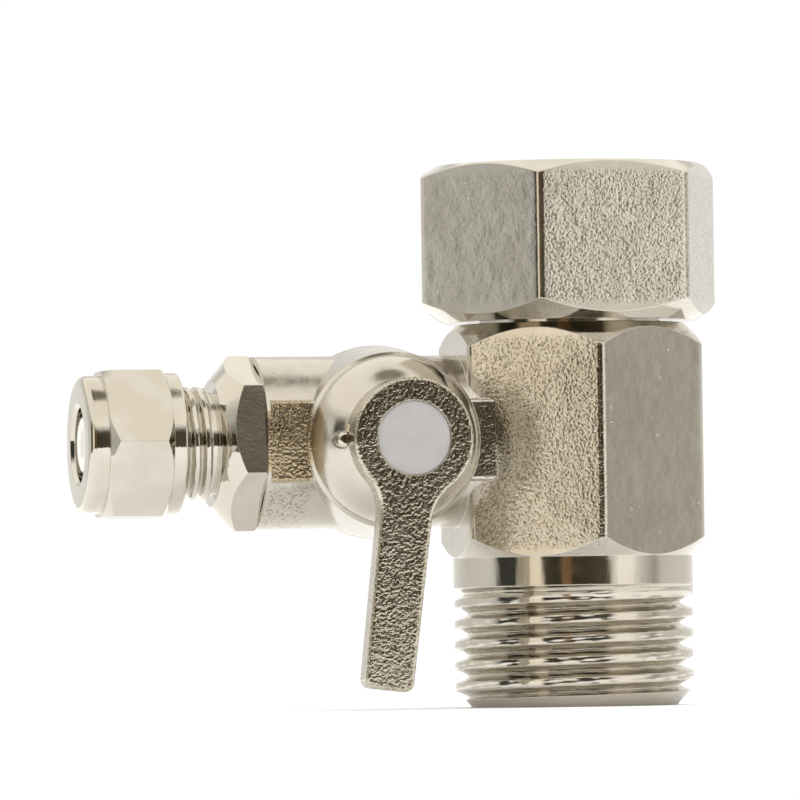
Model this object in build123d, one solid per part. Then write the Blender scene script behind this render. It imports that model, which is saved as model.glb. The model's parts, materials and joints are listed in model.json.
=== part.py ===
from build123d import *
import os
from math import asin, degrees, radians, sqrt, tan

os.makedirs("parts", exist_ok=True)

# Feed-water tee with a quarter-turn ball valve on its side branch.
# Millimetres. The origin is the centre of the male end face, +Z runs up the
# main waterway to the swivel nut, the branch leaves along -X and the valve
# stem points along -Y.

# ---- driving dimensions -------------------------------------------------

# pipe thread G1/2 (ISO 228-1), shown as plain cylinders
G12_MAJOR_D = 20.955
G12_MINOR_D = 18.631

# tee body, main run
RUN_BORE_D = 12.5
MALE_LENGTH = 12.6
MALE_LEAD = 1.5
BODY_HEX_FLATS = 21.0
BODY_HEX_HEIGHT = 20.8
BODY_HEX_FACE_D = 20.0
FORGED_CORNER_R = 0.8
BODY_CHAMFER_ANGLE = 45.0

# swivel nut and what holds it on the body
NUT_FLATS = 23.7
NUT_HEIGHT = 13.75
NUT_TURN = 6.4
NUT_TOP_FACE_D = 23.2
NUT_TOP_ANGLE = 30.0
NUT_BOTTOM_FACE_D = 22.1
NUT_BOTTOM_ANGLE = 34.0
NUT_GAP = 0.2
NUT_SHOULDER = 2.4
NUT_RELIEF_D = 20.0
NUT_LEAD = 1.2
SPIGOT_D = 15.8
SPIGOT_LAND = 1.4
RING_WIDTH = 1.6
RING_THICKNESS = 1.0
RING_DEPTH = 0.7
RING_SPLIT = 2.0
GASKET_D = 18.0
GASKET_BORE_D = 13.2
GASKET_THICKNESS = 2.0

# side branch, measured outward from the run's axis
BRANCH_HEIGHT = 23.25
BARREL_D = 15.06
BARREL_END = 28.5
PAD_HEIGHT = 7.1
PAD_FRONT = 7.25
PAD_EDGE_R = 0.35
BRANCH_BORE_D = 4.8
STEM_REACH = 17.5

# ball and seats
BALL_D = 9.5
BALL_PORT_D = 4.5
BALL_SLOT_WIDTH = 1.9
BALL_SLOT_FLOOR = 3.4
SEAT_D = 11.0
SEAT_NEAR = 2.7
SEAT_FAR = 5.3
SEAT_BORE_D = 4.8

# valve boss, measured outward from the branch's axis along the stem
BOSS_ROOT_D = 16.9
BOSS_EDGE_D = 15.3
BOSS_EDGE_STATION = 7.5
BOSS_EDGE_BREAK = 0.3
BOSS_TOP_D = 9.2
BOSS_TOP_STATION = 12.3
BOSS_CROWN = 0.45
BACK_FACE_D = 15.3
BACK_STATION = 7.9
BACK_EDGE_R = 1.6

# stem
STEM_D = 4.9
STEM_FLANGE_D = 6.4
STEM_FLANGE_STATION = 5.65
STEM_FLANGE_THICKNESS = 0.9
STEM_TONGUE_LENGTH = 4.6
STEM_TONGUE_STATION = 3.5
STEM_SQUARE = 3.3
THRUST_WASHER_THICKNESS = 0.6
O_RING_SECTION = 0.72
O_RING_GROOVE_WIDTH = 1.0
O_RING_STATIONS = (8.2, 9.8)
SCREW_HOLE_D = 2.6
SCREW_HOLE_DEPTH = 3.1

# handle
HEAD_D = 10.5
HEAD_BACK = 12.45
HEAD_FRONT = 16.1
HEAD_RECESS_D = 6.4
HEAD_FLOOR = 1.15
LEVER_LENGTH = 21.7
LEVER_ROOT_WIDTH = 4.6
LEVER_TIP_WIDTH = 4.25
LEVER_THICKNESS = 2.4
LEVER_BLEND_R = 4.2
LEVER_TIP_R = 0.8
LEVER_EDGE_R = 0.3
LEVER_LEAN = 6.7
LEVER_SWING = 90.0
STOP_PIN_D = 1.4
STOP_PIN_RADIUS = 5.4
STOP_PIN_TIP = 13.2
STOP_PIN_ROOT = 8.5
NOTCH_DEPTH = 1.05
WASHER_D = 5.6
WASHER_THICKNESS = 0.4
SCREW_D = 2.5
SCREW_HEAD_D = 5.2
SCREW_HEAD_HEIGHT = 1.1
SCREW_LENGTH = 3.2
CAP_SET_BACK = 0.15
CAP_THICKNESS = 0.75
CAP_WALL = 0.3

# outlet adapter
ADAPTER_THREAD_D = 12.0
ADAPTER_HEX_FLATS = 13.4
ADAPTER_HEX_LENGTH = 3.7
ADAPTER_HEX_TURN = 9.6
ADAPTER_FACE_D = 11.0
ADAPTER_CHAMFER_ANGLE = 40.0
STUB_D = 10.0
STUB_LENGTH = 6.9
STUB_LEAD = 0.6
STUB_RELIEF_D = 8.9
STUB_RELIEF_WIDTH = 0.6
STUB_MOUTH_D = 8.4
STUB_MOUTH_ANGLE = 30.0
TUBE_SOCKET_DEPTH = 5.0
ADAPTER_SEAL_SECTION = 0.84
ADAPTER_SEAL_DEPTH = 0.9

# compression nut and ferrule, for 6.35 mm tube
TUBE_D = 6.35
TUBE_CLEARANCE = 0.1
COMP_NUT_LENGTH = 8.7
COMP_NUT_SETBACK = 3.0
COMP_NUT_FLATS = 12.65
COMP_NUT_TURN = 1.0
COMP_COLLAR_D = 12.0
COMP_COLLAR_LENGTH = 1.8
COMP_COLLAR_R = 0.8
COMP_SKIRT_D = 12.4
COMP_SKIRT_LENGTH = 1.3
COMP_SKIRT_R = 0.3
COMP_CHAMFER_ANGLE = 38.0
COMP_MOUTH_D = 7.2
COMP_LIP = 1.3
COMP_CONE_ANGLE = 45.0
FERRULE_D = 8.5
FERRULE_NOSE_D = 7.0
FERRULE_LAND = 1.2

# fits, radial unless said otherwise
RUNNING_FIT = 0.08
STEM_FIT = 0.05
SEAT_FIT = 0.05
BALL_FIT = 0.06
THREAD_FIT = 0.05
STATIC_FIT = 0.02
AXIAL_PLAY = 0.1
STOP_FIT_ANGLE = 0.6

# ---- stations worked out from the driving dimensions --------------------

HEX_TOP = MALE_LENGTH + BODY_HEX_HEIGHT
NUT_BOTTOM = HEX_TOP + NUT_GAP
NUT_TOP = NUT_BOTTOM + NUT_HEIGHT
SHOULDER_TOP = NUT_BOTTOM + NUT_SHOULDER
RING_BOTTOM = SHOULDER_TOP + AXIAL_PLAY
RING_TOP = RING_BOTTOM + RING_THICKNESS
SPIGOT_TOP = RING_TOP + SPIGOT_LAND
RING_INNER_R = SPIGOT_D / 2 - RING_DEPTH

CAVITY_R = SEAT_D / 2 + SEAT_FIT
NOSE_STATION = STEM_REACH + SEAT_FAR
STEM_BORE_R = STEM_D / 2 + STEM_FIT
FLANGE_TOP = STEM_FLANGE_STATION + STEM_FLANGE_THICKNESS
POCKET_TOP = FLANGE_TOP + THRUST_WASHER_THICKNESS
POCKET_R = STEM_FLANGE_D / 2 + STEM_FIT
HEAD_FLOOR_FACE = HEAD_BACK + HEAD_FLOOR
STEM_TOP = HEAD_FLOOR_FACE - AXIAL_PLAY
WASHER_TOP = HEAD_FLOOR_FACE + WASHER_THICKNESS
HEAD_UNDERSIDE = WASHER_TOP + SCREW_HEAD_HEIGHT

ADAPTER_FACE = BARREL_END + ADAPTER_HEX_LENGTH
STUB_END = ADAPTER_FACE + STUB_LENGTH
TUBE_BORE_R = TUBE_D / 2 + TUBE_CLEARANCE
COMP_NUT_NEAR = ADAPTER_FACE + COMP_NUT_SETBACK
COMP_NUT_FAR = COMP_NUT_NEAR + COMP_NUT_LENGTH
COMP_THREAD_R = STUB_D / 2 + THREAD_FIT
COMP_CONE_TOP = COMP_NUT_FAR - COMP_LIP
COMP_CONE_BOTTOM = COMP_CONE_TOP - (COMP_THREAD_R - TUBE_BORE_R) / tan(radians(COMP_CONE_ANGLE))

# how far a chamfer's cone is drawn past the hexagon's corners
CONE_OVERRUN = 0.5

# frames whose local z runs outward along the branch and along the stem
BRANCH = Plane(origin=(0, 0, BRANCH_HEIGHT), x_dir=(0, 0, 1), z_dir=(-1, 0, 0))
STEM = Plane(origin=(-STEM_REACH, 0, BRANCH_HEIGHT), x_dir=(0, 0, -1), z_dir=(0, -1, 0))
RUN = Plane.XY


# ---- shared shapes ------------------------------------------------------

def spun(frame, *outline):
    """Revolve a closed outline of (radius, station) points about the frame's z axis."""
    wire = Polyline(*[(radius, 0, station) for radius, station in outline], close=True)
    return frame * revolve(make_face(wire), Axis.Z)


def rod(frame, radius, low, high):
    """A plain round bar between two stations."""
    return frame * Pos(0, 0, low) * Cylinder(radius, high - low, align=(Align.CENTER, Align.CENTER, Align.MIN))


def tube(frame, inner, outer, low, high):
    """A plain ring between two stations."""
    return spun(frame, (inner, low), (outer, low), (outer, high), (inner, high))


def hex_bar(frame, flats, corner_r, turn, low, high):
    """A hexagonal bar with rounded corners; turn is the angle of one corner from local x."""
    outline = RegularPolygon(flats / 2, 6, major_radius=False, rotation=turn)
    if corner_r:
        outline = fillet(outline.vertices(), corner_r)
    return frame * Pos(0, 0, low) * extrude(outline, high - low)


def chamfered_hex(frame, flats, corner_r, turn, low, high, low_cone, high_cone):
    """A hexagonal bar turned to a cone at each end; a cone is (face radius, degrees from the face)."""
    reach = flats / sqrt(3) + CONE_OVERRUN
    low_rise = (reach - low_cone[0]) * tan(radians(low_cone[1]))
    high_rise = (reach - high_cone[0]) * tan(radians(high_cone[1]))
    turned = spun(frame, (0, low), (low_cone[0], low), (reach, low + low_rise),
                  (reach, high - high_rise), (high_cone[0], high), (0, high))
    return hex_bar(frame, flats, corner_r, turn, low, high) & turned


def ring_seal(frame, centre_r, section, station):
    """An O-ring of round section."""
    return frame * Pos(0, 0, station) * Torus(centre_r, section / 2)


# ---- tee body -----------------------------------------------------------

def run_solid():
    """Male shank, forged hexagon and the spigot that the swivel nut turns on."""
    major_r = G12_MAJOR_D / 2
    shank = spun(RUN, (0, 0), (major_r - MALE_LEAD, 0), (major_r, MALE_LEAD),
                 (major_r, MALE_LENGTH + 1), (0, MALE_LENGTH + 1))
    cone = (BODY_HEX_FACE_D / 2, BODY_CHAMFER_ANGLE)
    block = chamfered_hex(RUN, BODY_HEX_FLATS, FORGED_CORNER_R, 30, MALE_LENGTH, HEX_TOP, cone, cone)
    spigot_r = SPIGOT_D / 2
    spigot = spun(RUN, (0, HEX_TOP - 1), (spigot_r, HEX_TOP - 1), (spigot_r, RING_BOTTOM),
                  (RING_INNER_R, RING_BOTTOM), (RING_INNER_R, RING_TOP), (spigot_r, RING_TOP),
                  (spigot_r, SPIGOT_TOP), (0, SPIGOT_TOP))
    return shank + block + spigot


def barrel_solid():
    """Branch barrel with the flat forged pad along its front."""
    barrel_r = BARREL_D / 2
    barrel = rod(BRANCH, barrel_r, 0, BARREL_END)
    pad_depth = PAD_FRONT
    pad = BRANCH * Pos(0, -pad_depth / 2, 0) * Box(
        PAD_HEIGHT, pad_depth, BARREL_END - 0.3, align=(Align.CENTER, Align.CENTER, Align.MIN))
    pad = fillet(pad.edges().filter_by(Axis.X).group_by(Axis.Y)[0], PAD_EDGE_R)
    crest = BRANCH * Pos(0, -PAD_FRONT - barrel_r / 2, 0) * Box(
        BARREL_D, barrel_r, 2 * BARREL_END, align=(Align.CENTER, Align.CENTER, Align.CENTER))
    return barrel + pad - crest


def boss_solid():
    """Drafted boss on the stem axis with a crowned front face, and a plain round back."""
    root_r = BOSS_ROOT_D / 2
    edge_r = BOSS_EDGE_D / 2
    break_r = edge_r - BOSS_EDGE_BREAK
    break_station = BOSS_EDGE_STATION + BOSS_EDGE_BREAK
    top_r = BOSS_TOP_D / 2
    middle = ((break_r + top_r) / 2 + BOSS_CROWN, (break_station + BOSS_TOP_STATION) / 2 + BOSS_CROWN)
    wall = Polyline((0, 0, 0), (root_r, 0, 0), (edge_r, 0, BOSS_EDGE_STATION), (break_r, 0, break_station))
    face = ThreePointArc((break_r, 0, break_station), (middle[0], 0, middle[1]), (top_r, 0, BOSS_TOP_STATION))
    lid = Polyline((top_r, 0, BOSS_TOP_STATION), (0, 0, BOSS_TOP_STATION), (0, 0, 0))
    front = STEM * revolve(make_face(wall + face + lid), Axis.Z)
    back = spun(STEM, (0, 0), (root_r, 0), (BACK_FACE_D / 2, -BACK_STATION), (0, -BACK_STATION))
    rim = back.edges().filter_by(GeomType.CIRCLE).sort_by(Axis.Y)[-1]
    return front + fillet(rim, BACK_EDGE_R)


def body_hollows():
    """Waterways, ball cavity, stem bore and the thread bore for the outlet adapter."""
    seal_r = ADAPTER_THREAD_D / 2 + 2 * STATIC_FIT + ADAPTER_SEAL_SECTION
    hollows = rod(RUN, RUN_BORE_D / 2, -1, SPIGOT_TOP + 1)
    hollows += rod(BRANCH, BRANCH_BORE_D / 2, 0, STEM_REACH)
    hollows += rod(BRANCH, CAVITY_R, STEM_REACH - SEAT_FAR, NOSE_STATION)
    hollows += rod(BRANCH, ADAPTER_THREAD_D / 2 + THREAD_FIT, NOSE_STATION, BARREL_END + 1)
    hollows += rod(BRANCH, seal_r, BARREL_END - ADAPTER_SEAL_DEPTH, BARREL_END + 1)
    hollows += rod(STEM, POCKET_R, 0, POCKET_TOP)
    hollows += rod(STEM, STEM_BORE_R, 0, BOSS_TOP_STATION + 1)
    hollows += rod(STOP_FRAME, STOP_PIN_D / 2 + STATIC_FIT, STOP_PIN_ROOT, BOSS_TOP_STATION + 1)
    return hollows


def tee_body():
    return run_solid() + barrel_solid() + boss_solid() - body_hollows()


# ---- swivel nut group ---------------------------------------------------

def swivel_nut():
    """Hexagon nut with a shoulder at its foot, a thread relief and a plain thread bore."""
    shoulder_r = SPIGOT_D / 2 + RUNNING_FIT
    relief_r = NUT_RELIEF_D / 2
    relief_top = SPIGOT_TOP + GASKET_THICKNESS + AXIAL_PLAY
    minor_r = G12_MINOR_D / 2
    bottom_cone = (NUT_BOTTOM_FACE_D / 2, NUT_BOTTOM_ANGLE)
    top_cone = (NUT_TOP_FACE_D / 2, NUT_TOP_ANGLE)
    block = chamfered_hex(RUN, NUT_FLATS, FORGED_CORNER_R, NUT_TURN, NUT_BOTTOM, NUT_TOP,
                          bottom_cone, top_cone)
    hollow = spun(RUN, (0, NUT_BOTTOM - 1), (shoulder_r, NUT_BOTTOM - 1), (shoulder_r, SHOULDER_TOP),
                  (relief_r, SHOULDER_TOP), (relief_r, relief_top), (minor_r, relief_top),
                  (minor_r, NUT_TOP - NUT_LEAD), (minor_r + NUT_LEAD, NUT_TOP),
                  (minor_r + NUT_LEAD, NUT_TOP + 1), (0, NUT_TOP + 1))
    return block - hollow


def nut_retaining_ring():
    """Split flat ring in the spigot's groove, above the nut's shoulder."""
    inner = RING_INNER_R + STATIC_FIT
    ring = tube(RUN, inner, inner + RING_WIDTH, RING_BOTTOM + STATIC_FIT, RING_TOP - STATIC_FIT)
    gap = Pos(0, inner + RING_WIDTH / 2, RING_BOTTOM) * Box(RING_SPLIT, 2 * RING_WIDTH, 4 * RING_THICKNESS)
    return ring - gap


def nut_gasket():
    return tube(RUN, GASKET_BORE_D / 2, GASKET_D / 2, SPIGOT_TOP, SPIGOT_TOP + GASKET_THICKNESS)


# ---- valve --------------------------------------------------------------

LEAN = Rot(0, 0, -LEVER_LEAN)
STOP_FRAME = STEM * Pos(0, -STOP_PIN_RADIUS, 0)


def ball():
    """Ball bored along the lever, with a slot across the bore for the stem's tongue."""
    sphere = Sphere(BALL_D / 2)
    port = Rot(0, 90, 0) * Cylinder(BALL_PORT_D / 2, 2 * BALL_D)
    slot = Pos(0, 0, BALL_SLOT_FLOOR) * Box(
        BALL_SLOT_WIDTH, BALL_D, BALL_D, align=(Align.CENTER, Align.CENTER, Align.MIN))
    return STEM * LEAN * (sphere - port - slot)


def seat_ring(side):
    """Seat with a spherical face; side is +1 outward of the ball and -1 inward."""
    near, far = sorted((STEM_REACH + side * SEAT_NEAR, STEM_REACH + side * SEAT_FAR))
    ring = tube(BRANCH, SEAT_BORE_D / 2, SEAT_D / 2, near, far)
    return ring - STEM * Sphere(BALL_D / 2 + BALL_FIT)


def stem():
    """Blow-out-proof stem: tongue, flange, two seal grooves, square and tapped hole."""
    groove_r = STEM_D / 2 - O_RING_SECTION - STATIC_FIT + STEM_FIT / 2
    half = O_RING_GROOVE_WIDTH / 2
    outline = [(0, STEM_FLANGE_STATION), (STEM_FLANGE_D / 2, STEM_FLANGE_STATION),
               (STEM_FLANGE_D / 2, FLANGE_TOP), (STEM_D / 2, FLANGE_TOP)]
    for station in O_RING_STATIONS:
        outline += [(STEM_D / 2, station - half), (groove_r, station - half),
                    (groove_r, station + half), (STEM_D / 2, station + half)]
    outline += [(STEM_D / 2, BOSS_TOP_STATION), (0, BOSS_TOP_STATION)]
    shaft = spun(Plane.XY, *outline)
    tongue = Box(BALL_SLOT_WIDTH - 2 * STATIC_FIT, STEM_TONGUE_LENGTH, STEM_FLANGE_STATION - STEM_TONGUE_STATION,
                 align=(Align.CENTER, Align.CENTER, Align.MIN))
    square = Box(STEM_SQUARE, STEM_SQUARE, STEM_TOP - BOSS_TOP_STATION,
                 align=(Align.CENTER, Align.CENTER, Align.MIN))
    shaft += Pos(0, 0, STEM_TONGUE_STATION) * tongue + Pos(0, 0, BOSS_TOP_STATION) * square
    shaft -= rod(Plane.XY, SCREW_HOLE_D / 2, STEM_TOP - SCREW_HOLE_DEPTH, STEM_TOP + 1)
    return STEM * LEAN * shaft


def stem_thrust_washer():
    return tube(STEM, STEM_BORE_R, POCKET_R - STEM_FIT, FLANGE_TOP, POCKET_TOP)


def stem_o_ring(station):
    centre_r = STEM_D / 2 - O_RING_SECTION / 2 + STEM_FIT / 2
    return ring_seal(STEM, centre_r, O_RING_SECTION, station)


def stop_pin():
    """Pressed pin that the notch in the handle's underside runs against."""
    pin = rod(STOP_FRAME, STOP_PIN_D / 2, STOP_PIN_ROOT, STOP_PIN_TIP)
    tip = pin.edges().filter_by(GeomType.CIRCLE).sort_by(Axis.Y)[0]
    return fillet(tip, STOP_PIN_D / 4)


# ---- handle -------------------------------------------------------------

def lever_outline():
    """Round head blended into a slightly tapered arm that points along local x."""
    head_r = HEAD_D / 2
    arm = Polyline((0, LEVER_ROOT_WIDTH / 2), (LEVER_LENGTH, LEVER_TIP_WIDTH / 2),
                   (LEVER_LENGTH, -LEVER_TIP_WIDTH / 2), (0, -LEVER_ROOT_WIDTH / 2), close=True)
    plate = Circle(head_r) + make_face(arm)
    corners = plate.vertices().sort_by(Axis.X)
    plate = fillet(corners[-2:], LEVER_TIP_R)
    hollows = [corner for corner in plate.vertices()
               if abs(corner.Y) > LEVER_TIP_WIDTH / 2 - 0.01 and 0 < corner.X < head_r]
    return fillet(hollows, LEVER_BLEND_R)


def handle_lever():
    """Cast handle: head with a screw recess, arm, square hole and the stop notch below."""
    plate = Pos(0, 0, HEAD_FRONT - LEVER_THICKNESS) * extrude(lever_outline(), LEVER_THICKNESS)
    plate = fillet(plate.edges().group_by(Axis.Z)[-1], LEVER_EDGE_R)
    head = rod(Plane.XY, HEAD_D / 2, HEAD_BACK, HEAD_FRONT - LEVER_EDGE_R)
    handle = plate + head
    handle -= rod(Plane.XY, HEAD_RECESS_D / 2, HEAD_FLOOR_FACE, HEAD_FRONT + 1)
    square = STEM_SQUARE + 2 * STATIC_FIT
    handle -= Pos(0, 0, HEAD_BACK) * Box(square, square, 4 * HEAD_FLOOR)
    return STEM * LEAN * (handle - stop_notch())


def stop_notch():
    """Sector cut in the head's underside, wide enough for the pin over the whole swing."""
    pin_half = degrees(asin(STOP_PIN_D / 2 / STOP_PIN_RADIUS)) + STOP_FIT_ANGLE
    inner_r = STOP_PIN_RADIUS - STOP_PIN_D / 2 - 3 * RUNNING_FIT
    sweep = LEVER_SWING + 2 * pin_half
    half_profile = Polyline((inner_r, 0, HEAD_BACK - 1), (HEAD_D, 0, HEAD_BACK - 1),
                            (HEAD_D, 0, HEAD_BACK + NOTCH_DEPTH), (inner_r, 0, HEAD_BACK + NOTCH_DEPTH),
                            close=True)
    sector = revolve(make_face(half_profile), Axis.Z, revolution_arc=sweep)
    return Rot(0, 0, pin_half - sweep) * sector


def handle_lock_washer():
    return tube(STEM, SCREW_D / 2 + STATIC_FIT, WASHER_D / 2, HEAD_FLOOR_FACE, WASHER_TOP)


def handle_screw():
    """Pan head screw with a cross recess."""
    shank = rod(STEM, SCREW_D / 2, WASHER_TOP - SCREW_LENGTH, WASHER_TOP)
    head = rod(STEM, SCREW_HEAD_D / 2, WASHER_TOP, HEAD_UNDERSIDE)
    crown = head.edges().filter_by(GeomType.CIRCLE).sort_by(Axis.Y)[0]
    head = fillet(crown, SCREW_HEAD_HEIGHT / 2)
    slot = Box(SCREW_D, SCREW_D / 4, SCREW_HEAD_HEIGHT, align=(Align.CENTER, Align.CENTER, Align.MIN))
    cross = slot + Rot(0, 0, 90) * slot
    return shank + head - STEM * Pos(0, 0, HEAD_UNDERSIDE - SCREW_HEAD_HEIGHT / 2) * cross


def handle_cap():
    """Snap-in cap: a disc with a skirt that grips the recess wall."""
    outer = HEAD_RECESS_D / 2 - STATIC_FIT
    front = HEAD_FRONT - CAP_SET_BACK
    back = front - CAP_THICKNESS
    skirt = WASHER_TOP + AXIAL_PLAY
    return spun(STEM, (0, back), (outer - CAP_WALL, back), (outer - CAP_WALL, skirt), (outer, skirt),
                (outer, front), (0, front))


# ---- outlet -------------------------------------------------------------

def outlet_adapter():
    """Screwed-in end piece: seat nose, hexagon and the threaded stub for the tube."""
    thread_r = ADAPTER_THREAD_D / 2
    nose = tube(BRANCH, BRANCH_BORE_D / 2, thread_r, NOSE_STATION, BARREL_END)
    near_cone = (ADAPTER_HEX_FLATS / sqrt(3) - 0.2, ADAPTER_CHAMFER_ANGLE)
    far_cone = (ADAPTER_FACE_D / 2, ADAPTER_CHAMFER_ANGLE)
    block = chamfered_hex(BRANCH, ADAPTER_HEX_FLATS, 0, ADAPTER_HEX_TURN, BARREL_END, ADAPTER_FACE,
                          near_cone, far_cone)
    stub_r = STUB_D / 2
    relief_end = ADAPTER_FACE + STUB_RELIEF_WIDTH
    stub = spun(BRANCH, (0, BARREL_END), (STUB_RELIEF_D / 2, BARREL_END), (STUB_RELIEF_D / 2, relief_end),
                (stub_r, relief_end), (stub_r, STUB_END - STUB_LEAD), (stub_r - STUB_LEAD, STUB_END),
                (0, STUB_END))
    mouth_depth = (STUB_MOUTH_D / 2 - TUBE_BORE_R) / tan(radians(STUB_MOUTH_ANGLE))
    socket = STUB_END - TUBE_SOCKET_DEPTH
    bore = spun(BRANCH, (0, NOSE_STATION - 1), (BRANCH_BORE_D / 2, NOSE_STATION - 1),
                (BRANCH_BORE_D / 2, socket), (TUBE_BORE_R, socket), (TUBE_BORE_R, STUB_END - mouth_depth),
                (STUB_MOUTH_D / 2, STUB_END), (STUB_MOUTH_D / 2, STUB_END + 1), (0, STUB_END + 1))
    return nose + block + stub - bore


def adapter_o_ring():
    centre_r = ADAPTER_THREAD_D / 2 + STATIC_FIT + ADAPTER_SEAL_SECTION / 2
    station = BARREL_END - ADAPTER_SEAL_DEPTH / 2
    return ring_seal(BRANCH, centre_r, ADAPTER_SEAL_SECTION, station)


def compression_nut():
    """Nut with a round collar, a chamfered hexagon and a short round skirt."""
    collar_near = COMP_NUT_FAR - COMP_COLLAR_LENGTH
    skirt_far = COMP_NUT_NEAR + COMP_SKIRT_LENGTH
    cone_r = COMP_NUT_FLATS / 2 + 0.05
    hexagon = chamfered_hex(BRANCH, COMP_NUT_FLATS, 0, 90 + COMP_NUT_TURN, skirt_far, collar_near,
                            (cone_r, COMP_CHAMFER_ANGLE), (cone_r, COMP_CHAMFER_ANGLE))
    collar = rod(BRANCH, COMP_COLLAR_D / 2, COMP_NUT_NEAR + COMP_SKIRT_LENGTH, COMP_NUT_FAR)
    collar = fillet(collar.edges().filter_by(GeomType.CIRCLE).sort_by(Axis.X)[0], COMP_COLLAR_R)
    skirt = rod(BRANCH, COMP_SKIRT_D / 2, COMP_NUT_NEAR, collar_near)
    skirt = fillet(skirt.edges().filter_by(GeomType.CIRCLE).sort_by(Axis.X)[-1], COMP_SKIRT_R)
    mouth_depth = COMP_MOUTH_D / 2 - TUBE_BORE_R
    bore = spun(BRANCH, (0, COMP_NUT_NEAR - 1), (COMP_THREAD_R, COMP_NUT_NEAR - 1),
                (COMP_THREAD_R, COMP_CONE_BOTTOM), (TUBE_BORE_R, COMP_CONE_TOP),
                (TUBE_BORE_R, COMP_NUT_FAR - mouth_depth), (COMP_MOUTH_D / 2, COMP_NUT_FAR),
                (COMP_MOUTH_D / 2, COMP_NUT_FAR + 1), (0, COMP_NUT_FAR + 1))
    return hexagon + collar + skirt - bore


def compression_ferrule():
    """Double-cone sleeve lying in the nut's cone, its nose facing the stub's mouth."""
    outer = FERRULE_D / 2
    nose = FERRULE_NOSE_D / 2
    back_slope = tan(radians(COMP_CONE_ANGLE))
    back_tip = COMP_CONE_TOP - AXIAL_PLAY - (nose - TUBE_BORE_R) / back_slope
    back_shoulder = back_tip - (outer - nose) / back_slope
    front_shoulder = back_shoulder - FERRULE_LAND
    front_tip = front_shoulder - (outer - nose) / tan(radians(STUB_MOUTH_ANGLE))
    return spun(BRANCH, (TUBE_BORE_R, front_tip), (nose, front_tip), (outer, front_shoulder),
                (outer, back_shoulder), (nose, back_tip), (TUBE_BORE_R, back_tip))


# ---- write every piece --------------------------------------------------

PIECES = {
    "tee_body": tee_body,
    "swivel_nut": swivel_nut,
    "nut_retaining_ring": nut_retaining_ring,
    "nut_gasket": nut_gasket,
    "ball": ball,
    "seat_ring_inner": lambda: seat_ring(-1),
    "seat_ring_outer": lambda: seat_ring(1),
    "stem": stem,
    "stem_thrust_washer": stem_thrust_washer,
    "stem_o_ring_lower": lambda: stem_o_ring(O_RING_STATIONS[0]),
    "stem_o_ring_upper": lambda: stem_o_ring(O_RING_STATIONS[1]),
    "stop_pin": stop_pin,
    "handle_lever": handle_lever,
    "handle_lock_washer": handle_lock_washer,
    "handle_screw": handle_screw,
    "handle_cap": handle_cap,
    "outlet_adapter": outlet_adapter,
    "adapter_o_ring": adapter_o_ring,
    "compression_nut": compression_nut,
    "compression_ferrule": compression_ferrule,
}

for node, make in PIECES.items():
    export_step(make(), f"parts/{node}.step")
    print(node)
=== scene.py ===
import json
from math import pi, radians

import bmesh
import bpy
import numpy as np
from mathutils import Matrix, Vector


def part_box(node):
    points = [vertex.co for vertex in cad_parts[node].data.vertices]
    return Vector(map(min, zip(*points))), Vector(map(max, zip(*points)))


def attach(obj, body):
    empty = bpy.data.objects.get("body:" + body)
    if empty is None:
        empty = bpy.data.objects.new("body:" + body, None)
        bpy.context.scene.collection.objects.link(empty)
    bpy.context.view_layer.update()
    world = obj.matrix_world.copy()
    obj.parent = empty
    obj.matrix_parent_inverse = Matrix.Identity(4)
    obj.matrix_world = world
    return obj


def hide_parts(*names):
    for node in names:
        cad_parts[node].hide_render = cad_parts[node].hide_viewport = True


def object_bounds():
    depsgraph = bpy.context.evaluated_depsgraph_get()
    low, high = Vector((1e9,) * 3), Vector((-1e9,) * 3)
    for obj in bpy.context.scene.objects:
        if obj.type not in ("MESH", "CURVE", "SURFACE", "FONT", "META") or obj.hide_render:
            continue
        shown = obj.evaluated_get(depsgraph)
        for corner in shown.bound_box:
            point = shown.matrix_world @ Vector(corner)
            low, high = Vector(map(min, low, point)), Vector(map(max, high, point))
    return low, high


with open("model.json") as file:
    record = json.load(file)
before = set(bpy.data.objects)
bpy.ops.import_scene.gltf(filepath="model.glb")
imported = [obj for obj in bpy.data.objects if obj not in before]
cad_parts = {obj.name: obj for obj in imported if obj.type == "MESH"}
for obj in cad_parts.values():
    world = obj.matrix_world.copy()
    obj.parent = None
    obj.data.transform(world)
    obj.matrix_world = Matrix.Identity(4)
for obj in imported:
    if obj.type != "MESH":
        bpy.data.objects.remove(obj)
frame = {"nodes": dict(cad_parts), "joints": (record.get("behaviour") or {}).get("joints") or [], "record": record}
cad_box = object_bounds()

MM = 0.001

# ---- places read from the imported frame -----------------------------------

MOUNTS = {mount["name"]: mount for mount in frame["record"]["mounts"]}
JOINTS = {joint["name"]: joint for joint in frame["joints"]}
STEM_PLACE = Vector(JOINTS["handle_turn"]["pos_m"])
BRANCH_HEIGHT = STEM_PLACE.z / MM
MALE_MAJOR_R = MOUNTS["male_thread"]["dims"]["r_mm"]
FEMALE_MINOR_R = MOUNTS["swivel_thread"]["dims"]["r_mm"]
NECK_TOP = MOUNTS["male_thread"]["pos_m"][2] / MM + MOUNTS["male_thread"]["dims"]["length_mm"] / 2
TEE_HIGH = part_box("tee_body")[1] / MM
NUT_LOW, NUT_HIGH = (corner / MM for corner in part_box("swivel_nut"))
OUTLET_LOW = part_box("outlet_adapter")[0] / MM
TUBE_NUT_LOW, TUBE_NUT_HIGH = (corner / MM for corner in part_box("compression_nut"))

# local z runs along the pipe run, or outward along the branch
ALONG_RUN = Matrix.Identity(4)
ALONG_BRANCH = Matrix(((0, 0, -1, 0), (0, 1, 0, 0), (1, 0, 0, BRANCH_HEIGHT * MM), (0, 0, 0, 1)))


# ---- meshes ---------------------------------------------------------------

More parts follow.
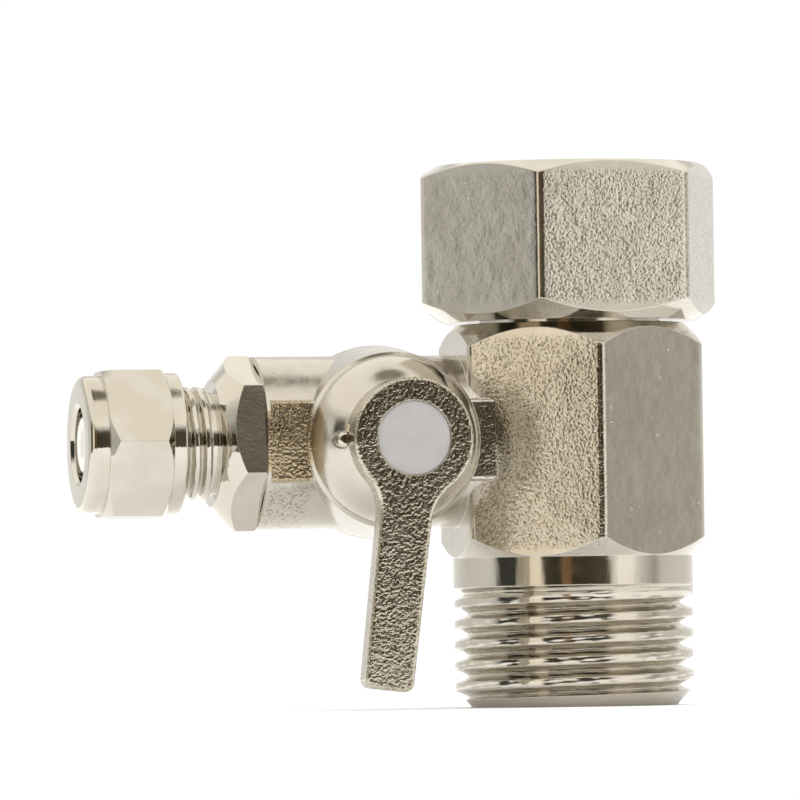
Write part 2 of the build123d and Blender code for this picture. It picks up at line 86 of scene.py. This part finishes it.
def closed_band(name, radii, stations, place):
    """Mesh round an axis, closed both ways.

    Point (i, j) lies at radius radii[i, j] and angle 2 pi i / rows, at height stations[j] along
    local z; the last row joins the first, and the last column joins the first.
    """
    rows, columns = radii.shape
    angle = (np.arange(rows) * 2 * pi / rows)[:, None]
    points = np.stack([radii * np.cos(angle), radii * np.sin(angle),
                       np.broadcast_to(stations, radii.shape)], axis=-1).reshape(-1, 3) * MM
    points = points @ np.array(place.to_3x3()).T + np.array(place.translation)
    i, j = np.meshgrid(np.arange(rows), np.arange(columns), indexing="ij")
    after_i, after_j = (i + 1) % rows, (j + 1) % columns
    corners = np.stack([i * columns + j, after_i * columns + j, after_i * columns + after_j,
                        i * columns + after_j], axis=-1).reshape(-1, 4)
    mesh = bpy.data.meshes.new(name)
    mesh.from_pydata(points.tolist(), [], corners.tolist())
    recalculate = bmesh.new()
    recalculate.from_mesh(mesh)
    bmesh.ops.recalc_face_normals(recalculate, faces=recalculate.faces)
    recalculate.to_mesh(mesh)
    recalculate.free()
    piece = bpy.data.objects.new(name, mesh)
    bpy.context.scene.collection.objects.link(piece)
    return piece


def merged_copy(node, name, body):
    """A copy of a CAD node's mesh with its doubles merged, ready to be cut; it stands for the node."""
    source = frame["nodes"][node].data
    places = np.empty(len(source.vertices) * 3)
    source.vertices.foreach_get("co", places)
    mesh = bpy.data.meshes.new(name)
    mesh.from_pydata(places.reshape(-1, 3).tolist(), [], [list(face.vertices) for face in source.polygons])
    merge = bmesh.new()
    merge.from_mesh(mesh)
    bmesh.ops.remove_doubles(merge, verts=merge.verts, dist=0.0005 * MM)
    merge.to_mesh(mesh)
    merge.free()
    piece = bpy.data.objects.new(name, mesh)
    bpy.context.scene.collection.objects.link(piece)
    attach(piece, body)
    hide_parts(node)
    return piece


def carve(piece, cutter):
    """Takes the cutter's volume out of the piece."""
    boolean = piece.modifiers.new("carve", "BOOLEAN")
    boolean.operation = "DIFFERENCE"
    boolean.solver = "EXACT"
    boolean.object = cutter
    bpy.context.view_layer.update()
    carved = bpy.data.meshes.new_from_object(piece.evaluated_get(bpy.context.evaluated_depsgraph_get()))
    piece.modifiers.clear()
    piece.data = carved
    bpy.data.objects.remove(cutter)


def smooth_but_for_edges(mesh, angle=radians(28)):
    mesh.shade_smooth()
    mesh.set_sharp_from_angle(angle=angle)


def thread_cutter(name, crest, root, far, pitch, start, end, fade_start, fade_end, place):
    """Closed ring with a screw thread on one wall.

    The threaded wall's radius goes between root and crest as a triangle wave of (height / pitch -
    angle / full turn), steepened, shifted towards the crest and clipped flat at both ends, then
    eased towards a sine. It fades to just past the crest over fade_start at the start and fade_end
    at the end, and a ripple of under two hundredths of a millimetre gives it the tool's chatter.
    The other wall is a plain cylinder at radius far.
    """
    rows = 160
    columns = int((end - start) / pitch * 18)
    height = np.linspace(start, end, columns)[None, :]
    turn = (np.arange(rows) / rows)[:, None]
    phase = np.mod(height / pitch - turn, 1)
    wave = np.clip(1.65 * (1 - 4 * np.abs(phase - 0.5)) + 0.5 * np.sign(crest - root), -1, 1)
    wave = 0.6 * wave + 0.4 * np.sin(wave * pi / 2)
    radii = (crest + root) / 2 + (crest - root) / 2 * wave
    chatter = np.sin(2 * pi * (turn * 9 + height * 1.7)) * np.sin(2 * pi * (turn * 23 - height * 0.9))
    radii = radii + np.sign(root - crest) * 0.008 * (1 + chatter)
    blank = crest + 0.12 * np.sign(crest - root)
    fade = np.zeros_like(height)
    if fade_start:
        fade = np.maximum(fade, np.clip((start + fade_start - height) / fade_start, 0, 1))
    if fade_end:
        fade = np.maximum(fade, np.clip((height - end + fade_end) / fade_end, 0, 1))
    radii = radii + (blank - radii) * fade
    radii = np.hstack([radii, np.full((rows, 2), far)])
    stations = np.concatenate([height[0], [end, start]])
    return closed_band(name, radii, stations, place)


# ---- materials --------------------------------------------------------------

def linear(colour):
    """An sRGB hex colour as linear red, green, blue and alpha."""
    channels = [int(colour[i:i + 2], 16) / 255 for i in (1, 3, 5)]
    return (*[c / 12.92 if c <= 0.04045 else ((c + 0.055) / 1.055) ** 2.4 for c in channels], 1)


def add(tree, kind, settings, links):
    """Adds a node; lower-case settings are its options, the others its inputs, and links feed inputs."""
    node = tree.nodes.new("ShaderNode" + kind)
    for name, value in settings.items():
        if name == "stops":
            while len(node.color_ramp.elements) < len(value):
                node.color_ramp.elements.new(1)
            for element, (position, colour) in zip(node.color_ramp.elements, value):
                element.position = position
                element.color = colour
        elif isinstance(name, str) and name[0].islower():
            setattr(node, name, value)
        else:
            node.inputs[name].default_value = value
    for name, source in links.items():
        tree.links.new(source, node.inputs[name])
    return node


def new_material(name):
    """An empty material with a shader, its output and the piece's own coordinates."""
    material = bpy.data.materials.new(name)
    material.use_nodes = True
    tree = material.node_tree
    shader = tree.nodes["Principled BSDF"]
    coords = add(tree, "TexCoord", {}, {}).outputs["Object"]
    return material, tree, shader, coords


def relief(tree, coords, normal, size, height, detail=2.0, amount=None):
    """Random lumps of the given size and height in millimetres, raised on a normal."""
    noise = add(tree, "TexNoise", {"Scale": 1 / (size * MM), "Detail": detail}, {"Vector": coords})
    links = {"Height": noise.outputs["Fac"], "Normal": normal}
    if amount is not None:
        links["Strength"] = amount
    return add(tree, "Bump", {"Distance": height * MM}, links).outputs["Normal"]


def pit_marks(tree, coords, spacing, size):
    """Scattered round pits: 1 in a pit's middle and 0 outside, with a third of the cells left empty."""
    cells = add(tree, "TexVoronoi", {"Scale": 1 / (spacing * MM), "Randomness": 1.0}, {"Vector": coords})
    dip = add(tree, "MapRange", {"interpolation_type": "SMOOTHSTEP", "From Min": 0.0,
                                 "From Max": size / spacing, "To Min": 1.0, "To Max": 0.0},
              {"Value": cells.outputs["Distance"]})
    split = add(tree, "SeparateColor", {}, {"Color": cells.outputs["Color"]})
    keep = add(tree, "Math", {"operation": "GREATER_THAN", 1: 0.55}, {0: split.outputs["Red"]})
    marks = add(tree, "Math", {"operation": "MULTIPLY"}, {0: dip.outputs["Result"], 1: keep.outputs[0]})
    return marks.outputs[0]


def between(tree, value, low, high, at_low=0.0, at_high=1.0):
    """Soft step of a value from at_low, at and under low, to at_high, at and over high."""
    return add(tree, "MapRange", {"interpolation_type": "SMOOTHSTEP", "From Min": low, "From Max": high,
                                  "To Min": at_low, "To Max": at_high}, {"Value": value}).outputs["Result"]


def blotches(tree, coords, size, first, second, low=0.4, high=0.6):
    """Colour that drifts between two hex colours over patches of the given size."""
    noise = add(tree, "TexNoise", {"Scale": 1 / (size * MM), "Detail": 3.0}, {"Vector": coords})
    amount = between(tree, noise.outputs["Fac"], low, high)
    mix = add(tree, "Mix", {"data_type": "RGBA", 6: linear(first), 7: linear(second)}, {0: amount})
    return mix.outputs[2]


# colour of the painted shade inside pits
PIT_SHADE = "#3a352c"


def metal(name, light, dark, roughness, roughness_swing, edge, grains, speck=None, pits=None, tint=None,
          satin=None, zones=None):
    """A metal finish: drifting colour, drifting roughness, rounded edges, layers of grain and pits.

    grains holds (lump size, height, detail, zone) in millimetres; zone names one of the strengths
    that zones(tree, coords) returns, or is None for everywhere. speck is (size, hex colour, zone) for
    painted shade in the hollows between grains, tint is (hex colour, zone), pits is (spacing, size,
    depth, zone), each pit darkened with painted shade, and satin is (added roughness, zone).
    """
    material, tree, shader, coords = new_material(name)
    strengths = zones(tree, coords) if zones else {}
    shader.inputs["Metallic"].default_value = 1.0
    colour = blotches(tree, coords, 4.0, light, dark)
    if tint:
        shade, zone = tint
        tinted = add(tree, "Mix", {"data_type": "RGBA", 7: linear(shade)}, {0: strengths[zone], 6: colour})
        colour = tinted.outputs[2]
    if speck:
        size, shade, zone = speck
        # painted shade: the hollows between grains darkened towards the speck colour
        painted_hollow_shade = add(tree, "TexNoise", {"Scale": 1 / (size * MM), "Detail": 2.0}, {"Vector": coords})
        painted_hollow_shade = between(tree, painted_hollow_shade.outputs["Fac"], 0.36, 0.50, 1.0, 0.0)
        if zone:
            painted_hollow_shade = add(tree, "Math", {"operation": "MULTIPLY"}, {0: painted_hollow_shade, 1: strengths[zone]}).outputs[0]
        colour = add(tree, "Mix", {"data_type": "RGBA", 7: linear(shade)}, {0: painted_hollow_shade, 6: colour}).outputs[2]
    wear = add(tree, "TexNoise", {"Scale": 1 / (1.3 * MM), "Detail": 4.0}, {"Vector": coords})
    rough = between(tree, wear.outputs["Fac"], 0.3, 0.7, roughness - roughness_swing,
                    roughness + roughness_swing)
    if satin:
        extra, zone = satin
        dulled = add(tree, "Math", {"operation": "MULTIPLY_ADD", 1: extra}, {0: strengths[zone], 2: rough})
        rough = dulled.outputs[0]
    normal = add(tree, "Bevel", {"samples": 6, "Radius": edge * MM}, {}).outputs["Normal"]
    for size, height, detail, zone in grains:
        normal = relief(tree, coords, normal, size, height, detail, strengths.get(zone))
    if pits:
        spacing, size, depth, zone = pits
        marks = pit_marks(tree, coords, spacing, size)
        if zone:
            marks = add(tree, "Math", {"operation": "MULTIPLY"}, {0: marks, 1: strengths[zone]}).outputs[0]
        sunk = add(tree, "Bump", {"invert": True, "Distance": depth * MM}, {"Height": marks, "Normal": normal})
        normal = sunk.outputs["Normal"]
        # painted shade: colour darkened towards PIT_SHADE inside each pit
        painted_pit_shade = add(tree, "Mix", {"data_type": "RGBA", 7: linear(PIT_SHADE)}, {0: marks, 6: colour})
        colour = painted_pit_shade.outputs[2]
    tree.links.new(colour, shader.inputs["Base Color"])
    tree.links.new(rough, shader.inputs["Roughness"])
    tree.links.new(normal, shader.inputs["Normal"])
    return material


def tee_zones(tree, coords):
    """Strength of each kind of grain over the tee body, from where its surfaces lie."""
    place = add(tree, "SeparateXYZ", {}, {"Vector": coords})
    x, y, z = place.outputs
    def both(first, second):
        return add(tree, "Math", {"operation": "MULTIPLY"}, {0: first, 1: second}).outputs[0]
    above_neck = between(tree, z, (NECK_TOP - 0.1) * MM, (NECK_TOP + 0.2) * MM)
    above_chamfer = between(tree, z, (NECK_TOP + 0.7) * MM, (NECK_TOP + 1.6) * MM)
    under_chamfer = between(tree, z, (TEE_HIGH.z - 7.0) * MM, (TEE_HIGH.z - 5.9) * MM, 1.0, 0.0)
    on_hexagon = between(tree, x, -11.0 * MM, -9.4 * MM)
    raw_side = between(tree, x, 0.0, 0.6 * MM, 1.0, 0.10)
    out_of_boss = between(tree, x, -25.0 * MM, -24.4 * MM, 1.0, 0.0)
    high_pad = between(tree, z, (BRANCH_HEIGHT + 3.4) * MM, (BRANCH_HEIGHT + 3.6) * MM, 1.0, 0.0)
    low_pad = between(tree, z, (BRANCH_HEIGHT - 3.6) * MM, (BRANCH_HEIGHT - 3.4) * MM)
    front = between(tree, y, -7.15 * MM, -6.95 * MM, 1.0, 0.0)
    pad = both(both(both(high_pad, low_pad), front), out_of_boss)
    low_side = between(tree, z, (BRANCH_HEIGHT - 5) * MM, (BRANCH_HEIGHT - 2) * MM, 1.0, 0.15)
    barrel = both(out_of_boss, low_side)
    flats = both(both(above_chamfer, under_chamfer), on_hexagon)
    hexagon = both(flats, raw_side)
    grainy = add(tree, "Math", {"operation": "MAXIMUM"}, {0: hexagon, 1: pad}).outputs[0]
    grainy = add(tree, "Math", {"operation": "MAXIMUM"}, {0: grainy, 1: both(barrel, low_side)}).outputs[0]
    pitted = add(tree, "Math", {"operation": "MAXIMUM"}, {0: flats, 1: barrel}).outputs[0]
    branch = add(tree, "Math", {"operation": "SUBTRACT", 0: 1.0}, {1: on_hexagon}).outputs[0]
    return {"hexagon": hexagon, "pad": pad, "barrel": barrel, "everywhere": above_neck, "grainy": grainy,
            "pitted": pitted, "branch": both(branch, above_neck)}


def nut_zones(tree, coords):
    """Strength of the swivel nut's grain: rough flats on one side of its corner, smooth chamfers."""
    place = add(tree, "SeparateXYZ", {}, {"Vector": coords})
    x, y, z = place.outputs
    above = between(tree, z, (NUT_LOW.z + 0.9) * MM, (NUT_LOW.z + 1.9) * MM)
    under = between(tree, z, (NUT_HIGH.z - 1.5) * MM, (NUT_HIGH.z - 0.6) * MM, 1.0, 0.0)
    raw_side = between(tree, x, -5.4 * MM, -4.9 * MM, 0.22, 1.0)
    flats = add(tree, "Math", {"operation": "MULTIPLY"}, {0: above, 1: under}).outputs[0]
    return {"flats": flats,
            "raw": add(tree, "Math", {"operation": "MULTIPLY"}, {0: flats, 1: raw_side}).outputs[0]}


# nickel plate over a drop-forged brass body: silver with a warm cast, the forging's fine grain left
# under the plate on the flats, coarse on the raw pad, and smooth on the turned neck, with painted
# shade in the hollows between grains and in the pits
FORGED_TEE = metal("nickel_on_forged_brass", "#cac5bb", "#c5bfb4", 0.07, 0.03, 0.14,
                   [(1.6, 0.03, 2.0, "everywhere"), (0.24, 0.026, 2.0, "hexagon"), (0.28, 0.08, 1.5, "pad"),
                    (0.35, 0.03, 2.0, "barrel")],
                   speck=(0.24, "#a39a8a", "grainy"), pits=(1.5, 0.16, 0.10, "pitted"),
                   tint=("#b3a283", "pad"), satin=(0.13, "branch"), zones=tee_zones)
# the same plate on a forged hexagon nut, with more sparkle from its rougher flats, and painted shade in the
# hollows between their grains and in the pits
FORGED_NUT = metal("nickel_on_forged_nut", "#cdc8be", "#c8c2b8", 0.08, 0.03, 0.16,
                   [(1.5, 0.03, 2.0, "flats"), (0.24, 0.028, 2.0, "raw")], speck=(0.24, "#a69e90", "raw"),
                   pits=(1.7, 0.17, 0.10, "flats"), satin=(0.06, "flats"), zones=nut_zones)
# nickel on turned brass: near mirror, with the faintest tool marks and painted shade in sparse pits
TURNED = metal("nickel_on_turned_brass", "#ccc7bd", "#c6c0b4", 0.05, 0.02, 0.10,
               [(2.2, 0.012, 1.0, None), (0.25, 0.0035, 2.0, None)], pits=(3.4, 0.16, 0.08, None))
# nickel on a sand-textured casting: every grain glints on its own, with painted shade in the hollows between
# grains
CAST = metal("nickel_on_cast_handle", "#c4beae", "#bcb5a4", 0.11, 0.04, 0.22,
             [(0.9, 0.03, 2.0, None), (0.25, 0.042, 1.5, None)], speck=(0.25, "#948c7a", None))
# bare turned brass, yellow and slightly dull
BRASS = metal("bare_turned_brass", "#e3c27a", "#cfa95c", 0.25, 0.06, 0.06, [(0.3, 0.006, 2.0, None)])
# hard-chromed ball, polished for the seats
CHROME = metal("polished_chrome_ball", "#cfd2d4", "#c6cacd", 0.06, 0.02, 0.05, [(0.5, 0.001, 1.0, None)])
# stainless spring steel, rolled and slightly blue-grey
SPRING = metal("stainless_spring_steel", "#b9bab8", "#a8a9a7", 0.28, 0.06, 0.06, [(0.2, 0.006, 2.0, None)])


def soft_finish(name, light, dark, ior, roughness, roughness_swing, size, height, edge, subsurface=0.0):
    """A plastic or rubber: drifting colour and gloss, a moulded skin of fine lumps, rounded edges."""
    material, tree, shader, coords = new_material(name)
    shader.inputs["IOR"].default_value = ior
    if subsurface:
        shader.inputs["Subsurface Weight"].default_value = subsurface
        shader.inputs["Subsurface Radius"].default_value = (1.0, 0.9, 0.85)
        shader.inputs["Subsurface Scale"].default_value = 0.5 * MM
    colour = blotches(tree, coords, 1.5, light, dark)
    wear = add(tree, "TexNoise", {"Scale": 1 / (0.8 * MM), "Detail": 4.0}, {"Vector": coords})
    rough = between(tree, wear.outputs["Fac"], 0.3, 0.7, roughness - roughness_swing,
                    roughness + roughness_swing)
    rounded = add(tree, "Bevel", {"samples": 6, "Radius": edge * MM}, {}).outputs["Normal"]
    tree.links.new(colour, shader.inputs["Base Color"])
    tree.links.new(rough, shader.inputs["Roughness"])
    tree.links.new(relief(tree, coords, rounded, size, height), shader.inputs["Normal"])
    return material


# PTFE: waxy white, a little light goes in
PTFE = soft_finish("white_ptfe", "#efeee9", "#e4e2db", 1.35, 0.45, 0.08, 0.4, 0.004, 0.08, 0.3)
# nitrile rubber: near black, low sheen
RUBBER = soft_finish("black_nitrile_rubber", "#1c1c1d", "#262627", 1.52, 0.55, 0.08, 0.15, 0.006, 0.06)
# moulded translucent polypropylene cap: grey with a lilac cast and a satin skin
CAP = soft_finish("grey_polypropylene_cap", "#a6a4a4", "#a3a1a0", 1.49, 0.38, 0.06, 0.25, 0.006, 0.12, 0.25)
# natural acetal tube insert: milky white
ACETAL = soft_finish("milky_acetal_insert", "#e6e3dc", "#d8d4cb", 1.48, 0.35, 0.06, 0.3, 0.004, 0.10, 0.3)


# ---- pieces -----------------------------------------------------------------

G12_PITCH = 1.814
G12_DEPTH = 1.162
CREST_TRIM = 0.04
M10_PITCH = 1.0
M10_DEPTH = 0.56
STUB_R = 5.0


def forged_tee():
    """Tee body with its male pipe thread cut, run out towards the neck."""
    piece = merged_copy("tee_body", "forged_tee", "valve_body")
    crest = MALE_MAJOR_R - CREST_TRIM
    carve(piece, thread_cutter("male_pipe_thread", crest, crest - G12_DEPTH + CREST_TRIM, MALE_MAJOR_R + 2.0,
                               G12_PITCH, -0.6, 10.6, 0, 1.0, ALONG_RUN))
    return piece


def swivel_nut():
    """Swivel nut with its female pipe thread cut."""
    piece = merged_copy("swivel_nut", "threaded_swivel_nut", "swivel_nut")
    crest = FEMALE_MINOR_R + CREST_TRIM
    low = MOUNTS["swivel_thread"]["pos_m"][2] / MM - MOUNTS["swivel_thread"]["dims"]["length_mm"] / 2
    carve(piece, thread_cutter("female_pipe_thread", crest, crest + G12_DEPTH - CREST_TRIM,
                               FEMALE_MINOR_R - 1.0, G12_PITCH, low + 0.2, NUT_HIGH.z + 0.6, 0.8, 0, ALONG_RUN))
    return piece


def outlet():
    """Outlet adapter with the fine thread cut on its stub."""
    piece = merged_copy("outlet_adapter", "threaded_outlet", "valve_body")
    crest = STUB_R - CREST_TRIM
    end = -OUTLET_LOW.x
    carve(piece, thread_cutter("stub_thread", crest, crest - M10_DEPTH, STUB_R + 1.2, M10_PITCH,
                               end - 6.5, end + 0.4, 0.4, 0, ALONG_BRANCH))
    return piece


def tube_nut():
    """Compression nut with its inner thread cut."""
    piece = merged_copy("compression_nut", "threaded_tube_nut", "compression_nut")
    crest = STUB_R + CREST_TRIM + 0.05
    near = -TUBE_NUT_HIGH.x
    carve(piece, thread_cutter("nut_thread", crest, crest + 0.45, STUB_R - 0.8, M10_PITCH,
                               near - 0.4, near + 4.6, 0, 0.6, ALONG_BRANCH))
    return piece


def tube_insert():
    """Stepped plastic insert in the nut's mouth: a profile turned round the branch's axis."""
    end = -TUBE_NUT_LOW.x
    outline = np.array([(1.15, end - 6.0), (3.2, end - 6.0), (3.2, end - 1.7), (2.9, end - 1.5),
                        (2.45, end - 1.45), (2.42, end - 0.55), (2.3, end - 0.4), (2.1, end - 0.33),
                        (1.45, end - 0.33), (1.25, end - 0.4), (1.15, end - 0.6)])
    radii = np.broadcast_to(outline[:, 0], (96, len(outline)))
    piece = closed_band("tube_insert", radii, outline[:, 1], ALONG_BRANCH)
    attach(piece, "ferrule")
    return piece


def dress(piece, material):
    """One finish over a whole piece."""
    mesh = piece.data
    smooth_but_for_edges(mesh)
    mesh.materials.clear()
    mesh.materials.append(material)
    mesh.polygons.foreach_set("material_index", np.zeros(len(mesh.polygons), dtype=np.int32))


dress(forged_tee(), FORGED_TEE)
dress(swivel_nut(), FORGED_NUT)
dress(outlet(), TURNED)
dress(tube_nut(), TURNED)
dress(tube_insert(), ACETAL)

NODE_FINISHES = {
    "nut_retaining_ring": SPRING, "nut_gasket": RUBBER, "seat_ring_inner": PTFE, "seat_ring_outer": PTFE,
    "stem_thrust_washer": PTFE, "stop_pin": TURNED, "adapter_o_ring": RUBBER, "handle_lever": CAST,
    "stem": BRASS, "ball": CHROME, "stem_o_ring_lower": RUBBER, "stem_o_ring_upper": RUBBER,
    "handle_lock_washer": SPRING, "handle_screw": SPRING, "handle_cap": CAP, "compression_ferrule": BRASS,
}
for node, finish in NODE_FINISHES.items():
    for slot in frame["nodes"][node].material_slots:
        slot.material = finish


# ---- camera, floor and light ----------------------------------------------

CAMERA_AZIMUTH = radians(-12.2)
CAMERA_ELEVATION = radians(-1.49)
CAMERA_ROLL = radians(0.81)
CAMERA_DISTANCE = 0.800
CAMERA_LENS = 412.6
CAMERA_TARGET = Vector((-0.01528, 0, 0.02692))


def make_camera():
    """A long lens almost level with the branch, a little to the outlet's side of square-on."""
    camera = bpy.data.objects.new("camera", bpy.data.cameras.new("camera"))
    bpy.context.scene.collection.objects.link(camera)
    camera.data.lens = CAMERA_LENS
    camera.data.sensor_width = 36
    camera.data.clip_end = 20
    turn = Matrix.Rotation(CAMERA_AZIMUTH, 4, "Z") @ Matrix.Rotation(pi / 2 - CAMERA_ELEVATION, 4, "X")
    turn = turn @ Matrix.Rotation(-CAMERA_ROLL, 4, "Z")
    back = turn @ Vector((0, 0, 1))
    camera.matrix_world = Matrix.Translation(CAMERA_TARGET + CAMERA_DISTANCE * back) @ turn.to_4x4()
    bpy.context.scene.camera = camera


# brightness of the studio round the object: degrees from the camera's side, positive to its right
ROUND_THE_ROOM = [
    (-180, (1.00, 0.98, 0.94)), (-120, (0.85, 0.84, 0.80)), (-88, (0.92, 0.91, 0.88)),
    (-81, (0.62, 0.61, 0.57)), (-77, (0.06, 0.062, 0.055)), (-58, (0.05, 0.05, 0.042)),
    (-55, (0.60, 0.54, 0.44)), (-52, (1.10, 0.97, 0.76)), (-33, (1.30, 1.18, 0.98)),
    (-29, (0.08, 0.065, 0.04)), (-15, (0.05, 0.045, 0.03)), (-10, (0.26, 0.16, 0.08)),
    (-4, (0.22, 0.13, 0.06)), (0, (0.06, 0.05, 0.03)), (12, (0.07, 0.06, 0.04)),
    (32, (0.12, 0.10, 0.07)), (38, (0.95, 0.90, 0.82)), (43, (1.45, 1.40, 1.33)),
    (57, (1.35, 1.30, 1.20)), (66, (0.93, 0.90, 0.84)), (84, (0.50, 0.48, 0.44)),
    (94, (0.85, 0.83, 0.79)), (130, (0.95, 0.93, 0.90)), (180, (1.00, 0.98, 0.94)),
]
# the same overhead: degrees above level, from the top of the bands to the zenith
OVERHEAD = [
    (20, (0.50, 0.48, 0.44)), (26, (0.85, 0.82, 0.76)), (31, (1.32, 1.27, 1.17)), (72, (1.25, 1.20, 1.10)),
    (79, (0.30, 0.28, 0.23)), (90, (0.24, 0.22, 0.18)),
]
ROOM_SCALE = 2.0
LIGHT_ON_MATT = 1.75
WHITE_BEHIND = 1.02
FLOOR_RADIUS = 0.22


def make_studio():
    """White room for the eye; for the metal, soft panels with dark gaps between them."""
    world = bpy.data.worlds.new("studio")
    world.use_nodes = True
    tree = world.node_tree
    output = tree.nodes["World Output"]
    tree.nodes.remove(tree.nodes["Background"])
    direction = add(tree, "TexCoord", {}, {}).outputs["Generated"]
    turned = add(tree, "Mapping", {"Rotation": (0, 0, pi / 2 - CAMERA_AZIMUTH)}, {"Vector": direction})
    parts = add(tree, "SeparateXYZ", {}, {"Vector": turned.outputs["Vector"]})
    bearing = add(tree, "Math", {"operation": "ARCTAN2"}, {0: parts.outputs["Y"], 1: parts.outputs["X"]})
    height = add(tree, "Math", {"operation": "ARCSINE"}, {0: parts.outputs["Z"]})
    around = add(tree, "MapRange", {"From Min": -pi, "From Max": pi}, {"Value": bearing.outputs[0]})
    upward = add(tree, "MapRange", {"From Min": 0.0, "From Max": pi / 2}, {"Value": height.outputs[0]})

    def stops(table, low, high):
        return [((angle - low) / (high - low), (*[c / ROOM_SCALE for c in colour], 1))
                for angle, colour in table]

    walls = add(tree, "ValToRGB", {"stops": stops(ROUND_THE_ROOM, -180, 180)},
                {"Fac": around.outputs["Result"]})
    ceiling = add(tree, "ValToRGB", {"stops": stops(OVERHEAD, 0, 90)}, {"Fac": upward.outputs["Result"]})
    rise = between(tree, height.outputs[0], radians(17), radians(27))
    fall = between(tree, height.outputs[0], radians(-10), radians(-6), 1.0, 0.0)
    upper = add(tree, "Mix", {"data_type": "RGBA"},
                {0: rise, 6: walls.outputs["Color"], 7: ceiling.outputs["Color"]})
    room = add(tree, "Mix", {"data_type": "RGBA", 7: (0.44, 0.43, 0.41, 1)}, {0: fall, 6: upper.outputs[2]})
    kind = add(tree, "LightPath", {}, {})
    lit = add(tree, "Background", {"Strength": ROOM_SCALE}, {"Color": room.outputs[2]})
    spread = add(tree, "Background", {"Color": (1, 1, 1, 1), "Strength": LIGHT_ON_MATT}, {})
    plain = add(tree, "Background", {"Color": (1, 1, 1, 1), "Strength": WHITE_BEHIND}, {})
    matt = add(tree, "MixShader", {},
               {0: kind.outputs["Is Diffuse Ray"], 1: lit.outputs[0], 2: spread.outputs[0]})
    mixed = add(tree, "MixShader", {},
                {0: kind.outputs["Is Camera Ray"], 1: matt.outputs[0], 2: plain.outputs[0]})
    tree.links.new(mixed.outputs[0], output.inputs["Surface"])
    bpy.context.scene.world = world
    bpy.context.scene.view_settings.view_transform = "Standard"


def make_floor():
    """Plain pale floor at the object's foot, a disc of rings that widen outward."""
    rings, spokes = 24, 96
    radius = FLOOR_RADIUS * (np.arange(rings) / (rings - 1)) ** 2
    angle = np.arange(spokes) * 2 * pi / spokes
    points = np.stack([radius[1:, None] * np.cos(angle), radius[1:, None] * np.sin(angle),
                       np.full((rings - 1, spokes), cad_box[0][2] - 0.01 * MM)], axis=-1).reshape(-1, 3)
    points = np.vstack([points, [0, 0, cad_box[0][2] - 0.01 * MM]])
    i, j = np.meshgrid(np.arange(rings - 2), np.arange(spokes), indexing="ij")
    after = (j + 1) % spokes
    quads = np.stack([i * spokes + j, (i + 1) * spokes + j, (i + 1) * spokes + after, i * spokes + after],
                     axis=-1).reshape(-1, 4)
    middle = [(len(points) - 1, int(k), int((k + 1) % spokes)) for k in range(spokes)]
    mesh = bpy.data.meshes.new("floor")
    mesh.from_pydata(points.tolist(), [], quads.tolist() + middle)
    floor = bpy.data.objects.new("floor", mesh)
    bpy.context.scene.collection.objects.link(floor)
    material, tree, shader, coords = new_material("pale_floor")
    tree.links.new(blotches(tree, coords, 60, "#f2f2f1", "#f1f0ef"), shader.inputs["Base Color"])
    shader.inputs["Roughness"].default_value = 0.8
    shader.inputs["Specular IOR Level"].default_value = 0.0
    mesh.materials.append(material)


make_camera()
make_studio()
make_floor()
